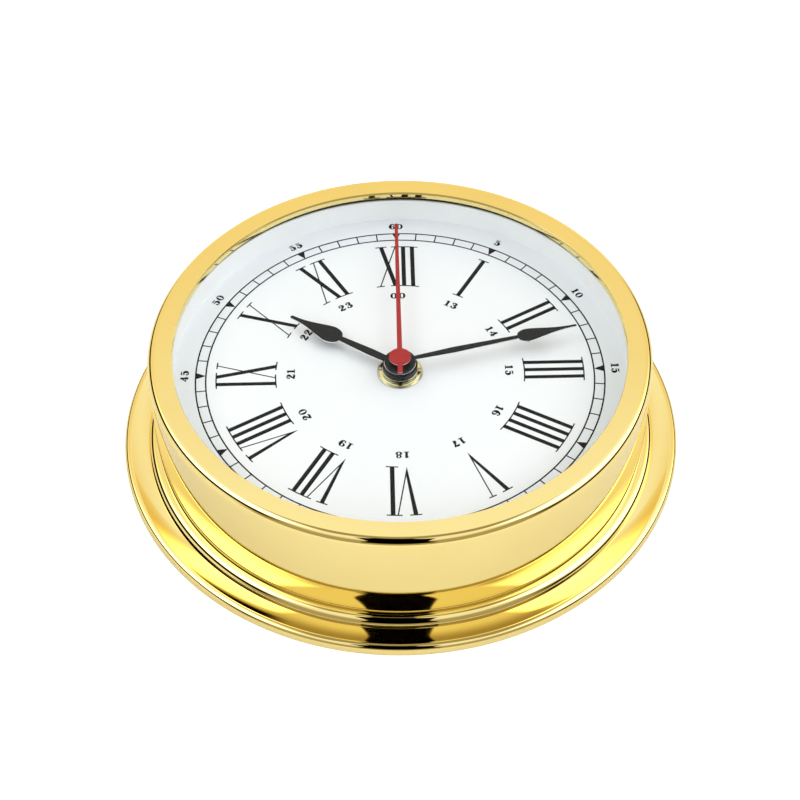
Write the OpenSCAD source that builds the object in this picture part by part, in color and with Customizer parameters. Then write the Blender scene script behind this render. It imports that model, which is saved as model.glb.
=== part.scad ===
// Ships deck clock: brass case with a screwed bezel, quartz movement and bayonet wall plate.
// The clock lies on its back: z = 0 is the wall face, +Z looks out of the dial, +Y is 12 o'clock.

/* [Case] */
// Outer radius of the wall flange
flange_r = 85; // [84:0.5:92]
// Radius of the rolled rim of the flange
rim_r = 2.25; // [1.9:0.05:2.6]
// Height of the straight edge under the rolled rim
rim_edge = 0.3; // [0.2:0.1:1]
// Radius of the half-round bead at the foot of the bezel wall
bead_r = 2.45; // [2.2:0.05:2.7]
// How far the bead stands out from the bezel wall
bead_out = 3.1; // [2.9:0.05:3.5]
// Height of the top of the bead above the wall
foot_z = 6.05; // [5.8:0.05:7]
// Height of the flange where it meets the bead
floor_z = 3.3; // [3.1:0.05:3.5]
// Depth of the hollow of the flange between bead and rim
floor_sag = 0.25; // [0.1:0.05:0.4]
// Thickness of the web that closes the back of the case
web_t = 2.6; // [2:0.1:2.9]
// Inner radius of the open back
back_r = 66; // [64:0.5:67]
// Thickness of the collar that carries the bezel thread
collar_t = 2.4; // [2:0.1:2.8]
// Length of the threaded land on the collar
land_h = 8; // [6:0.5:10]

/* [Bezel and glass] */
// Outer radius of the bezel wall
wall_r = 74.75; // [74.25:0.25:77]
// Thickness of the bezel wall
wall_t = 2; // [1.8:0.1:2.3]
// Thickness of the lip over the glass
lip_t = 2; // [1.6:0.1:3]
// Radius of the opening in the lip
lip_r = 67.15; // [66.5:0.05:68]
// Radius of the rounded top edge of the bezel
bezel_round = 2.45; // [1.5:0.05:2.8]
// Width of the bevel on the inner edge of the lip
lip_bevel = 0.4; // [0.2:0.1:0.8]
// Thickness of the glass
glass_t = 1.8; // [1.5:0.1:3]
// Thickness of the gasket under the glass
gasket_t = 0.5; // [0.4:0.1:1]
// Thickness of the snap ring that holds the glass
snap_t = 0.8; // [0.6:0.1:1.2]

/* [Dial and hands] */
// Thickness of the dial
dial_t = 0.8; // [0.6:0.1:1.2]
// Inner radius of the white ring between dial and glass
rehaut_r = 68.3; // [68:0.1:68.8]
// Height of the white ring
rehaut_h = 8; // [7.8:0.1:12]
// Height of the hour hand above the dial
hour_lift = 2.75; // [2.6:0.05:2.85]
// Height of the minute hand above the dial
minute_lift = 4.65; // [4.5:0.05:4.8]
// Height of the second hand's top above the dial
second_lift = 7.2; // [7:0.05:7.4]
// Length of the hour hand
hour_len = 39.5; // [36:0.5:44]
// Length of the minute hand
minute_len = 55.6; // [50:0.5:60]
// Length of the second hand
second_len = 58.5; // [50:0.5:62]
// Length of the second hand's tail
tail_len = 6.8; // [5:0.1:12]
// Thickness of the sheet of the hands
hand_t = 0.5; // [0.3:0.05:0.6]
// Widest width of the hour hand
hour_w = 6.5; // [4:0.1:8]
// Widest width of the minute hand
minute_w = 5.1; // [3:0.1:7]
// Radius of the hour hand's boss
hour_boss_r = 5.4; // [4:0.1:6]
// Radius of the minute hand's boss
minute_boss_r = 4.8; // [3:0.1:6]
// Radius of the second hand's boss
second_boss_r = 3.3; // [2:0.1:4]
// Radius of the round slotted nut at the centre
nut_r = 6.4; // [5.5:0.1:8]
// Clock angle of the hour hand
hour_at = 303.1; // [0:0.1:360]
// Clock angle of the minute hand
minute_at = 75.9; // [0:0.1:360]

/* [Movement] */
// Distance from the wall to the back of the movement
stand_z = 7.7; // [7.2:0.1:9]
// Width of the square movement
move_w = 56; // [56:0.5:60]
// Depth of the movement
move_h = 16; // [15.9:0.1:17]
// Thickness of the movement's walls
shell_t = 1.2; // [1:0.1:1.4]
// Thickness of the movement's front and back plates
plate_t = 1.3; // [1.1:0.1:1.4]
// Outer radius of the threaded sleeve
sleeve_r = 4; // [3.8:0.1:4.6]
// Radius of the second hand's arbor
second_r = 0.45; // [0.4:0.01:0.5]
// Outer radius of the minute tube
minute_r = 1.25; // [1.1:0.05:1.35]
// Outer radius of the hour tube
hour_r = 2.45; // [2.1:0.05:2.6]
// Distance from the centre to the third wheel
third_dist = 9; // [8.8:0.05:9.1]
// Distance from the centre to the fifth wheel
fifth_dist = 9.6; // [9.5:0.05:10.2]
// Distance from the fifth wheel to the rotor
rotor_dist = 6; // [5.8:0.05:6.2]
// Distance from the centre to the minute-work wheel
motion_dist = 8.4; // [8.2:0.05:8.8]
// Radius of the rotor's magnet
magnet_r = 2.6; // [2.2:0.05:2.8]
// Radius of the coil
coil_r = 3.1; // [2.6:0.1:3.4]
// Radius of the set knob
knob_r = 5; // [4:0.1:6]
// Radius of the AA cell
cell_r = 7.1; // [6.95:0.05:7.2]
// Length of the AA cell's body
cell_len = 49.2; // [48.5:0.1:49.2]
// Thickness of the rubber washer behind the dial
washer_t = 1; // [0.6:0.1:1.6]

/* [Mounting] */
// Radius of the wall plate
plate_r = 58; // [55:0.5:59]
// Thickness of the wall plate
wall_plate_t = 3.6; // [3.3:0.1:4.2]
// Radius of the circle of the wall screws
screw_circle_r = 45; // [42:0.5:46]
// Radius of the wall screw holes
screw_hole_r = 2.25; // [1.75:0.25:2.75]
// How far the bayonet lugs stand out
lug_out = 4; // [3:0.1:4.2]
// Thickness of the bayonet lugs
lug_t = 1.4; // [1.2:0.1:1.5]
// Outer radius of the bayonet ring
bayonet_r = 72; // [71:0.1:73]

/* [Hidden] */
$fn = 96;

// ---- small amounts used throughout
cut = 0.5;            // how far a cutter runs past a face
fit = 0.05;           // radial running fit of a shaft or tube
seat = 0.3;           // gap between curved faces of different pieces
nip = 0.1;            // end float of a wheel
thread_fit = 0.07;    // radial gap of the plain cylinders that stand for the thread

// ---- heights, from the wall outwards
move_z = stand_z;
split_z = move_z + move_h / 2;
front_z = move_z + move_h;
dial_z = front_z + washer_t;
face_z = dial_z + dial_t;
gasket_z = face_z + rehaut_h;
glass_z = gasket_z + gasket_t;
lip_z = glass_z + glass_t;
top_z = lip_z + lip_t;

// ---- radii of the case
bead_mid_r = wall_r + bead_out - bead_r;
bead_mid_z = foot_z - bead_r;
rim_mid_r = flange_r - rim_r;
bore_r = wall_r - wall_t;
collar_out_r = bore_r - seat;
collar_in_r = collar_out_r - collar_t;
land_r = bore_r - thread_fit;
recess_r = bayonet_r + seat;
web_drop = 0.45;
web_z = foot_z - web_t - web_drop;
ring_z = 0.6;
land_rise = 6;
land_z = web_z + web_t + land_rise;
dial_step = 0.9;
dial_r = collar_out_r - dial_step;
glass_gap = 0.45;
glass_r = bore_r - glass_gap;
snap_hold = 0.6;
snap_bite = 0.5;
snap_in_r = glass_r - snap_hold;
snap_out_r = bore_r + snap_bite;
gasket_r = dial_r;
gasket_step = 0.5;
gasket_in_r = rehaut_r + gasket_step;

// ---- the arc of the flange: a chord from the bead to the rim with its sagitta
rim_kink = 8;
floor_start_r = bead_mid_r + sqrt(bead_r * bead_r - pow(bead_mid_z - floor_z, 2));
chord_a = [floor_start_r - 0.1, floor_z];
chord_b = [rim_mid_r, rim_edge] + rim_r * [-sin(rim_kink), cos(rim_kink)];
chord_len = norm(chord_b - chord_a);
chord_dir = (chord_b - chord_a) / chord_len;
hollow_r = chord_len * chord_len / (8 * floor_sag) + floor_sag / 2;
hollow_mid = (chord_a + chord_b) / 2 + [-chord_dir[1], chord_dir[0]] * (hollow_r - floor_sag);

// ---- bayonet
lug_r = plate_r + lug_out;
lug_half = 9;
tab_half = 10;
lug_count = 3;
tab_gap = 0.4;
tab_in_r = plate_r + tab_gap;
lug_gap = 0.6;
ring_in_r = lug_r + lug_gap;
lug_z = wall_plate_t - lug_t;
tab_t = lug_z - seat - ring_z;
ring_t = web_z - ring_z;
ring_screw_count = 6;
ring_screw_mid = (back_r + bayonet_r) / 2;
ring_screw_r = 1;

// ---- movement plan
third_at = -10;
fifth_at = 170;
rotor_at = 200;
motion_at = -100;
set_at = -30;
function polar(d, a) = [d * cos(a), d * sin(a)];
third_p = polar(third_dist, third_at);
fifth_p = polar(fifth_dist, fifth_at);
rotor_p = fifth_p + polar(rotor_dist, rotor_at);
motion_p = polar(motion_dist, motion_at);

// ---- teeth
rotor_n = 8;
fifth_n = 40;
fifth_pin_n = 10;
second_n = 60;
second_pin_n = 8;
third_n = 60;
third_pin_n = 8;
centre_n = 64;
cannon_n = 12;
motion_n = 36;
motion_pin_n = 10;
hour_n = 40;
set_n = 16;
rotor_m = 2 * rotor_dist / (rotor_n + fifth_n);
fifth_m = 2 * fifth_dist / (fifth_pin_n + second_n);
third_m = 2 * third_dist / (second_pin_n + third_n);
centre_m = 2 * third_dist / (third_pin_n + centre_n);
cannon_m = 2 * motion_dist / (cannon_n + motion_n);
hour_m = 2 * motion_dist / (motion_pin_n + hour_n);
set_p = motion_p + polar((motion_n + set_n) * cannon_m / 2, set_at);
tooth_rise = 0.6;
tooth_drop = 1.1;
tooth_tip = 0.1;
tooth_root = 0.26;

// ---- heights of the train, from the floor of the back shell
floor_in_z = move_z + plate_t;
ceil_z = front_z - plate_t;
wheel_t = 0.4;
pin_over = 0.4;
pin_under = 0.6;
rotor_pin_rise = 1.2;
rotor_pin_z = floor_in_z + rotor_pin_rise;
rotor_pin_h = 1.2;
fifth_z = rotor_pin_z + pin_over;
magnet_rise = 3.2;
magnet_z = floor_in_z + magnet_rise;
magnet_t = 2;
rotor_top_h = 0.8;
rotor_top_z = magnet_z + magnet_t + rotor_top_h;
second_rise = 3.6;
second_z = floor_in_z + second_rise;
fifth_pin_z = second_z - pin_under;
fifth_pin_h = 1.4;
fifth_top_z = fifth_pin_z + fifth_pin_h + pin_under;
third_rise = 2;
third_z = second_z + third_rise;
second_pin_z = third_z - pin_under;
second_pin_h = 2;
centre_rise = 2.8;
centre_z = third_z + centre_rise;
third_pin_z = centre_z - pin_over;
third_pin_h = 1.2;
third_top_z = third_pin_z + third_pin_h + pin_over;
cannon_rise = 1.2;
cannon_z = centre_z + cannon_rise;
motion_z = cannon_z + pin_over;
motion_t = 0.5;
cannon_h = 1.4;
hour_rise = 2;
hour_z = cannon_z + hour_rise;
hour_t = 0.6;
motion_pin_z = hour_z - pin_over;
motion_pin_h = 1.4;
set_drop = 0.2;
set_gear_z = motion_z - set_drop;
set_gear_h = 1;
set_top_z = set_gear_z + set_gear_h + pin_over;

// ---- pivots and bosses
pivot_r = 0.35;
pivot_h = 0.8;
arbor_r = 0.6;
thin_r = 0.5;
boss_r = 1.3;
fifth_boss_r = 0.9;
third_boss_r = 1.2;
post_r = 0.8;
stem_r = 1;
low_boss_z = floor_in_z + 0.8;

// ---- motor and electronics
stator_z = second_z;
stator_t = 1;
stator_hole = magnet_r + 0.4;
stator_ring = stator_hole + 2.6;
keep_r = second_n * fifth_m / 2 + tooth_rise * fifth_m + 0.4;
leg_w = 4;
coil_y = -19.5;
leg_a_x = -24;
leg_b_x = 0.4;
bridge_y = -14.5;
bridge_w = 3;
arm_half = 2.5;
pin_hole_r = 0.6;
core_t = 1;
core_w = 2.4;
core_z = stator_z + stator_t;
coil_z = core_z + core_t / 2;
bobbin_gap = 0.5;
bobbin_flange = 0.8;
bobbin_core_r = 1.7;
post_inset = 2;
board_t = 1;
board_z = floor_in_z + 10.4;
board_x = [11, 25.6];
board_y = [-21, -7];
in_half = move_w / 2 - shell_t;
bay_gap = 0.25;
cell_z = ceil_z - 0.15 - cell_r;
bay_y = in_half - 2 * cell_r - 2 * bay_gap;
cell_y = in_half - bay_gap - cell_r;
cap_len = 1.3;
cap_r = 2.7;
contact_t = 0.4;
contact_half = 4;
strip_z = [1, 3.5];
spade_t = 0.5;
spade_w = 2;
spring_h = 0.9;
spring_r = 2.4;
corner_r = 4;
screw_inset = 3.7;
screw_top_y = bay_y - shell_t - 2.6;
screw_r = 1;
screw_head_r = 1.9;
screw_head_t = 1;
screw_places = [
  [-in_half + screw_inset - 1, -in_half + screw_inset - 1],
  [in_half - screw_inset + 1, -in_half + screw_inset - 1],
  [-in_half + screw_inset - 1, screw_top_y],
  [in_half - screw_inset + 1, screw_top_y]
];

// ---- the stack at the centre
nut_washer_t = 0.3;
nut_washer_r = nut_r + 0.5;
nut_t = 0.9;
washer_w = 5;
washer_gap = 0.3;
thread_proud = 0.2;
sleeve_top = face_z + nut_washer_t + nut_t + thread_proud;
sleeve_in_r = hour_r + fit;
hour_tube_in_r = minute_r + fit;
minute_tube_in_r = second_r + fit;
hour_plane = face_z + hour_lift;
minute_plane = face_z + minute_lift;
second_top = face_z + second_lift;
hour_boss_z = hour_plane - 1.2;
hour_boss_h = 2.1;
minute_boss_z = minute_plane - 0.75;
minute_boss_h = 1.3;
second_boss_h = 0.8;
second_sheet_t = 0.3;
dimple_h = 0.15;
dimple_r = second_boss_r / 2;

// ================= shared shapes =================

module disc(r, z, h, p = [0, 0]) {
  translate([p[0], p[1], z]) cylinder(h = h, r = r);
}

module tube(r_out, r_in, z, h, p = [0, 0]) {
  difference() {
    disc(r_out, z, h, p);
    disc(r_in, z - cut, h + 2 * cut, p);
  }
}

module slab(x, y, z) {
  translate([x[0], y[0], z[0]]) cube([x[1] - x[0], y[1] - y[0], z[1] - z[0]]);
}

// a sector of a ring, from angle a to angle b
module sector(r_in, r_out, a, b, z, h) {
  reach = r_out * 2;
  intersection() {
    tube(r_out, r_in, z, h);
    translate([0, 0, z - cut]) linear_extrude(h + 2 * cut)
      polygon([[0, 0], polar(reach, a), polar(reach, (a + b) / 2), polar(reach, b)]);
  }
}

// a square with rounded corners, as true arcs
module round_square(half, r) {
  inner = half - r;
  square([2 * half, 2 * inner], center = true);
  square([2 * inner, 2 * half], center = true);
  for (x = [-inner, inner], y = [-inner, inner]) translate([x, y]) circle(r);
}

// the corners of each tooth, going round the gear
function tooth_points(teeth, m, turn) = let (
  pitch = 360 / teeth,
  root = m * (teeth / 2 - tooth_drop),
  tip = m * (teeth / 2 + tooth_rise)
) [
  for (i = [0 : teeth - 1], c = [[root, -tooth_root], [tip, -tooth_tip], [tip, tooth_tip], [root, tooth_root]])
    polar(c[0], turn + (i + c[1]) * pitch)
];

// the turn that puts a gear in mesh with a wheel whose first tooth lies on +X
function mesh_turn(toward, wheel_teeth, teeth) =
  toward + 180 - (0.5 - toward * wheel_teeth / 360) * 360 / teeth;

module gear(teeth, m, z, h, turn = 0) {
  translate([0, 0, z]) linear_extrude(h) polygon(tooth_points(teeth, m, turn));
}

// a thin wheel with round windows between hub and teeth
module windowed_wheel(teeth, m, z, h, hub, windows) {
  rim = m * (teeth / 2 - tooth_drop) - 0.8;
  mid = (hub + rim) / 2;
  hole = min((rim - hub) / 2, mid * sin(180 / windows) - 0.3);
  difference() {
    gear(teeth, m, z, h);
    for (i = [1 : windows]) disc(hole, z - cut, h + 2 * cut, polar(mid, i * 360 / windows));
  }
}

// an arbor between two bosses, with a pivot at each end
module arbor(z_low, z_high, r = arbor_r) {
  disc(r, z_low + nip, z_high - z_low - 2 * nip);
  disc(pivot_r, z_low - pivot_h + nip, z_high - z_low + 2 * pivot_h - 2 * nip);
}

// a screw through a piece, with its head at the low end
module screw(p, z, length, r, head_r, head_t) {
  difference() {
    union() {
      disc(head_r, z, head_t, p);
      disc(r, z, length, p);
    }
    translate([p[0], p[1], z - cut]) cube([2.4 * head_r, 0.5, 2 * cut + 0.8], center = true);
  }
}

// ================= case =================

// the flange between bead and rim, hollowed by one shallow arc
module flange_profile() {
  difference() {
    polygon([[recess_r, 0], [rim_mid_r, 0], chord_b, chord_a, [recess_r, floor_z]]);
    translate(hollow_mid) circle(hollow_r);
  }
}

module case_profile() {
  difference() {
    union() {
      flange_profile();
      translate([recess_r, 0]) square([bead_mid_r - recess_r, web_z + web_t]);
      translate([bead_mid_r, bead_mid_z]) circle(bead_r);
      translate([rim_mid_r, rim_edge]) circle(rim_r);
      translate([rim_mid_r - cut, 0]) square([rim_r + cut, rim_edge]);
      translate([back_r, web_z]) square([bead_mid_r - back_r, web_t]);
      translate([collar_in_r, web_z]) square([collar_t, dial_z - web_z]);
      translate([collar_in_r, land_z]) square([land_r - collar_in_r, land_h]);
    }
    translate([0, -2 * rim_r]) square([2 * flange_r, 2 * rim_r]);
  }
}

module case_body() {
  color([0.85, 0.68, 0.30]) difference() {
    rotate_extrude() case_profile();
    for (i = [1 : ring_screw_count])
      disc(ring_screw_r, web_z - cut, web_t, polar(ring_screw_mid, i * 360 / ring_screw_count));
  }
}

module bezel_profile() {
  mid = [wall_r - bezel_round, top_z - bezel_round];
  difference() {
    union() {
      translate([bore_r, foot_z]) square([wall_t, mid[1] - foot_z]);
      translate([lip_r, lip_z]) square([mid[0] - lip_r, lip_t]);
      translate([mid[0] - bezel_round, mid[1]]) square([bezel_round, bezel_round]);
      translate(mid) circle(bezel_round);
      translate([mid[0] - bezel_round, glass_z]) square([2 * bezel_round, mid[1] - glass_z]);
    }
    translate([0, foot_z - cut]) square([bore_r, lip_z - foot_z + cut]);
    translate([0, glass_z - snap_t - fit]) square([snap_out_r + fit, snap_t + fit]);
    polygon([
      [lip_r - cut, top_z + cut], [lip_r - cut, top_z - lip_bevel - cut], [lip_r, top_z - lip_bevel],
      [lip_r + lip_bevel, top_z], [lip_r + lip_bevel, top_z + cut]
    ]);
  }
}

module bezel_ring() {
  color([0.88, 0.72, 0.33]) rotate_extrude() bezel_profile();
}

module glass() {
  color([0.85, 0.93, 0.95, 0.3]) disc(glass_r, glass_z, glass_t);
}

module glass_gasket() {
  color([0.12, 0.12, 0.12]) tube(gasket_r, gasket_in_r, gasket_z, gasket_t);
}

// a split ring: the gap lets it spring into the groove of the bezel
module glass_retainer() {
  gap = 6;
  color([0.55, 0.45, 0.25]) difference() {
    tube(snap_out_r, snap_in_r, glass_z - snap_t, snap_t);
    slab([snap_in_r - cut, snap_out_r + cut], [-gap / 2, gap / 2], [glass_z - snap_t - cut, glass_z + cut]);
  }
}

module rehaut_ring() {
  color([0.95, 0.95, 0.95]) tube(dial_r, rehaut_r, face_z, rehaut_h);
}

module dial() {
  color([0.97, 0.97, 0.98]) tube(dial_r, sleeve_r + 0.1, dial_z, dial_t);
}

// ================= hands =================

// one edge of a pear blade on its stem, as [distance, half width]
function hand_edge(start, shoulder, wide, length, hub_half, mid_half, neck_half, wide_half, tip_half) = concat(
  [[start, hub_half], [(start + shoulder) * 0.42, mid_half], [shoulder, neck_half]],
  [for (a = [15 : 15 : 90])
    [wide - (wide - shoulder) * cos(a), neck_half + (wide_half - neck_half) * sin(a)]],
  [for (u = [0.1 : 0.1 : 1])
    [wide + u * (length - tip_half - wide),
     tip_half + (wide_half - tip_half) * (0.5 + 0.5 * cos(180 * pow(u, 0.72)))]],
  [for (a = [30 : 30 : 60]) [length - tip_half + tip_half * sin(a), tip_half * cos(a)]]
);

function both_sides(edge, length) = concat(
  [for (e = edge) [-e[1], e[0]]],
  [[0, length]],
  [for (i = [len(edge) - 1 : -1 : 0]) [edge[i][1], edge[i][0]]]
);

module blade(edge, length, z, h) {
  translate([0, 0, z]) linear_extrude(h) polygon(both_sides(edge, length));
}

module hour_hand() {
  edge = hand_edge(hour_boss_r - 1.5, hour_len * 0.54, hour_len * 0.638, hour_len, 1.25, 1.4, 0.98, hour_w / 2, 0.6);
  color([0.13, 0.14, 0.16]) rotate(-hour_at) {
    difference() {
      union() {
        blade(edge, hour_len, hour_plane, hand_t);
        disc(hour_boss_r, hour_boss_z, hour_boss_h);
      }
      disc(hour_r, hour_boss_z - cut, hour_boss_h + 2 * cut);
    }
  }
}

module minute_hand() {
  edge = hand_edge(minute_boss_r - 1.5, minute_len * 0.665, minute_len * 0.723, minute_len, 0.73, 1.18, 0.68,
    minute_w / 2, 0.4);
  color([0.13, 0.14, 0.16]) rotate(-minute_at) {
    difference() {
      union() {
        blade(edge, minute_len, minute_plane, hand_t);
        disc(minute_boss_r, minute_boss_z, minute_boss_h);
      }
      disc(minute_r, minute_boss_z - cut, minute_boss_h + 2 * cut);
    }
  }
}

module second_hand() {
  base = 0.6;
  tip = 0.39;
  tail = 0.75;
  color([0.75, 0.22, 0.22]) difference() {
    union() {
      translate([0, 0, second_top - second_sheet_t]) linear_extrude(second_sheet_t)
        polygon([[-tail, -tail_len], [tail, -tail_len], [base, 0], [tip, second_len], [-tip, second_len], [-base, 0]]);
      disc(second_boss_r, second_top - second_boss_h, second_boss_h);
      disc(2 * second_r, minute_boss_z + minute_boss_h + nip, second_lift - minute_lift - 0.5 - nip - second_sheet_t);
    }
    disc(second_r, face_z, second_lift - second_sheet_t);
    translate([0, 0, second_top - dimple_h]) cylinder(h = dimple_h + cut, r1 = dimple_r * 0.6, r2 = dimple_r);
  }
}

module centre_nut() {
  slot = 1.2;
  color([0.80, 0.68, 0.35]) difference() {
    tube(nut_r, sleeve_r, face_z + nut_washer_t, nut_t);
    for (a = [0, 90]) rotate(a)
      slab([-nut_r - cut, nut_r + cut], [-slot / 2, slot / 2],
        [face_z + nut_washer_t + nut_t / 2, face_z + nut_washer_t + nut_t + cut]);
  }
}

module nut_washer() {
  color([0.75, 0.75, 0.72]) tube(nut_washer_r, sleeve_r + 0.1, face_z, nut_washer_t);
}

module rubber_washer() {
  color([0.1, 0.1, 0.1]) tube(sleeve_r + washer_w, sleeve_r + washer_gap, front_z, washer_t);
}

// ================= movement shells =================

function top_bosses() = [
  // place, radius, height of the open end
  [rotor_p, boss_r, rotor_top_z],
  [fifth_p, fifth_boss_r, fifth_top_z],
  [third_p, third_boss_r, third_top_z],
  [set_p, boss_r, set_top_z]
];

module housing_back() {
  wall_y = bay_y - shell_t;
  posts = [[leg_a_x + leg_w / 2, coil_y], [leg_b_x + leg_w / 2, coil_y]];
  color([0.16, 0.17, 0.18]) difference() {
    union() {
      difference() {
        translate([0, 0, move_z]) linear_extrude(split_z - move_z) round_square(move_w / 2, corner_r);
        slab([-in_half, in_half], [-in_half, wall_y], [floor_in_z, split_z + cut]);
        slab([-in_half, in_half], [bay_y, in_half], [move_z - cut, split_z + cut]);
      }
      for (p = [rotor_p, fifth_p, third_p]) disc(boss_r, move_z + cut, low_boss_z - move_z - cut, p);
      disc(boss_r, move_z + cut, low_boss_z - move_z - cut);
      for (p = posts) disc(post_inset, move_z + cut, stator_z - move_z - cut, p);
      for (p = screw_places) disc(screw_head_r + 0.6, move_z + cut, split_z - move_z - cut, p);
      disc(stem_r + 1, move_z + cut, low_boss_z - move_z - cut, set_p);
    }
    for (p = [rotor_p, fifth_p, third_p, [0, 0]]) disc(pivot_r + fit, low_boss_z - pivot_h, pivot_h + cut, p);
    disc(stem_r + fit, move_z - cut, low_boss_z - move_z + 2 * cut, set_p);
    for (p = screw_places) {
      disc(screw_r + 0.1, move_z - cut, split_z - move_z + 2 * cut, p);
      disc(screw_head_r + 0.1, move_z - cut, screw_head_t + 0.2 + cut, p);
    }
  }
}

module housing_front() {
  wall_y = bay_y - shell_t;
  shoulder_z = motion_pin_z + motion_pin_h + nip;
  color([0.16, 0.17, 0.18]) difference() {
    union() {
      difference() {
        translate([0, 0, split_z]) linear_extrude(front_z - split_z) round_square(move_w / 2, corner_r);
        slab([-in_half, in_half], [-in_half, wall_y], [split_z - cut, ceil_z]);
        slab([-in_half, in_half], [bay_y, in_half], [split_z - cut, ceil_z]);
        slab([in_half - 1, in_half], [wall_y - cut, bay_y + cut], [split_z - cut, ceil_z]);
        slab([-in_half, -in_half + 1], [wall_y - cut, bay_y + cut], [split_z - cut, ceil_z]);
      }
      disc(sleeve_r, front_z - cut, sleeve_top - front_z + cut);
      for (b = top_bosses()) disc(b[1], b[2], ceil_z - b[2] + cut, b[0]);
      disc(post_r, motion_z - pin_over, ceil_z - motion_z + pin_over + cut, motion_p);
      disc(2 * post_r, shoulder_z, ceil_z - shoulder_z + cut, motion_p);
      for (p = screw_places) disc(screw_head_r + 0.2, split_z, ceil_z - split_z + cut, p);
      for (x = [board_x[0] + 2, board_x[1] - 4])
        disc(1.2, board_z + board_t, ceil_z - board_z - board_t + cut, [x, board_y[1] - 2]);
    }
    disc(sleeve_in_r, ceil_z - cut, sleeve_top - ceil_z + 2 * cut);
    for (b = top_bosses()) disc(pivot_r + fit, b[2] - cut, pivot_h + cut, b[0]);
    for (p = screw_places) disc(screw_r, split_z - cut, (ceil_z - split_z) * 0.7, p);
  }
}

module movement_screws() {
  color([0.7, 0.7, 0.72]) for (p = screw_places)
    screw(p, move_z + 0.2, split_z - move_z + 3, screw_r - 0.02, screw_head_r, screw_head_t);
}

// ================= gear train =================

module rotor() {
  color([0.35, 0.36, 0.38]) translate([rotor_p[0], rotor_p[1], 0]) {
    gear(rotor_n, rotor_m, rotor_pin_z, rotor_pin_h, mesh_turn(rotor_at, fifth_n, rotor_n));
    disc(magnet_r, magnet_z, magnet_t);
    arbor(low_boss_z, rotor_top_z);
  }
}

module fifth_wheel() {
  color([0.92, 0.92, 0.88]) translate([fifth_p[0], fifth_p[1], 0]) {
    windowed_wheel(fifth_n, rotor_m, fifth_z, wheel_t, 1.3, 5);
    gear(fifth_pin_n, fifth_m, fifth_pin_z, fifth_pin_h, mesh_turn(fifth_at, second_n, fifth_pin_n));
    arbor(low_boss_z, fifth_top_z);
  }
}

module second_wheel() {
  color([0.92, 0.92, 0.88]) {
    windowed_wheel(second_n, fifth_m, second_z, wheel_t, 1.4, 6);
    gear(second_pin_n, third_m, second_pin_z, second_pin_h, mesh_turn(third_at + 180, third_n, second_pin_n));
    disc(0.8, low_boss_z + nip, second_pin_z - low_boss_z - nip);
    disc(pivot_r, low_boss_z - pivot_h + nip, pivot_h);
    disc(second_r, second_pin_z, second_top - second_sheet_t - second_pin_z);
  }
}

module third_wheel() {
  color([0.92, 0.92, 0.88]) translate([third_p[0], third_p[1], 0]) {
    windowed_wheel(third_n, third_m, third_z, wheel_t, 1.4, 6);
    gear(third_pin_n, centre_m, third_pin_z, third_pin_h, mesh_turn(third_at, centre_n, third_pin_n));
    arbor(low_boss_z, third_top_z, thin_r);
  }
}

module centre_wheel() {
  tube_z = second_pin_z + second_pin_h + nip;
  color([0.80, 0.68, 0.35]) difference() {
    union() {
      windowed_wheel(centre_n, centre_m, centre_z, wheel_t, 2.2, 6);
      gear(cannon_n, cannon_m, cannon_z, cannon_h, mesh_turn(motion_at + 180, motion_n, cannon_n));
      disc(minute_r, tube_z, minute_boss_z + minute_boss_h - tube_z);
      disc(2, tube_z, cannon_z - tube_z);
    }
    disc(minute_tube_in_r, tube_z - cut, minute_plane + 2 - tube_z);
  }
}

module minute_work_wheel() {
  color([0.92, 0.92, 0.88]) translate([motion_p[0], motion_p[1], 0]) difference() {
    union() {
      windowed_wheel(motion_n, cannon_m, motion_z, motion_t, 1.9, 5);
      gear(motion_pin_n, hour_m, motion_pin_z, motion_pin_h, mesh_turn(motion_at, hour_n, motion_pin_n));
      disc(1.3, motion_z, motion_pin_z - motion_z);
    }
    disc(post_r + fit, motion_z - cut, 4);
  }
}

module hour_wheel() {
  hub_z = cannon_z + cannon_h + nip;
  color([0.92, 0.92, 0.88]) difference() {
    union() {
      windowed_wheel(hour_n, hour_m, hour_z, hour_t, 3.4, 8);
      disc(3.2, hub_z, ceil_z - nip - hub_z);
      disc(hour_r, hub_z, hour_boss_z + hour_boss_h - hub_z);
    }
    disc(hour_tube_in_r, hub_z - cut, hour_plane + 3 - hub_z);
  }
}

module set_knob() {
  knob_t = 2;
  grips = 16;
  color([0.2, 0.2, 0.22]) translate([set_p[0], set_p[1], 0]) {
    gear(set_n, cannon_m, set_gear_z, set_gear_h, mesh_turn(set_at, motion_n, set_n));
    disc(stem_r, move_z - nip - knob_t, set_gear_z - move_z + nip + knob_t);
    disc(pivot_r, set_gear_z, set_top_z + pivot_h - nip - set_gear_z);
    disc(stem_r + 0.6, low_boss_z + nip, 0.6);
    difference() {
      disc(knob_r, move_z - nip - knob_t, knob_t);
      for (i = [1 : grips])
        disc(0.45, move_z - nip - knob_t - cut, knob_t + 2 * cut, polar(knob_r, i * 360 / grips));
    }
  }
}

// ================= motor and electronics =================

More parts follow.
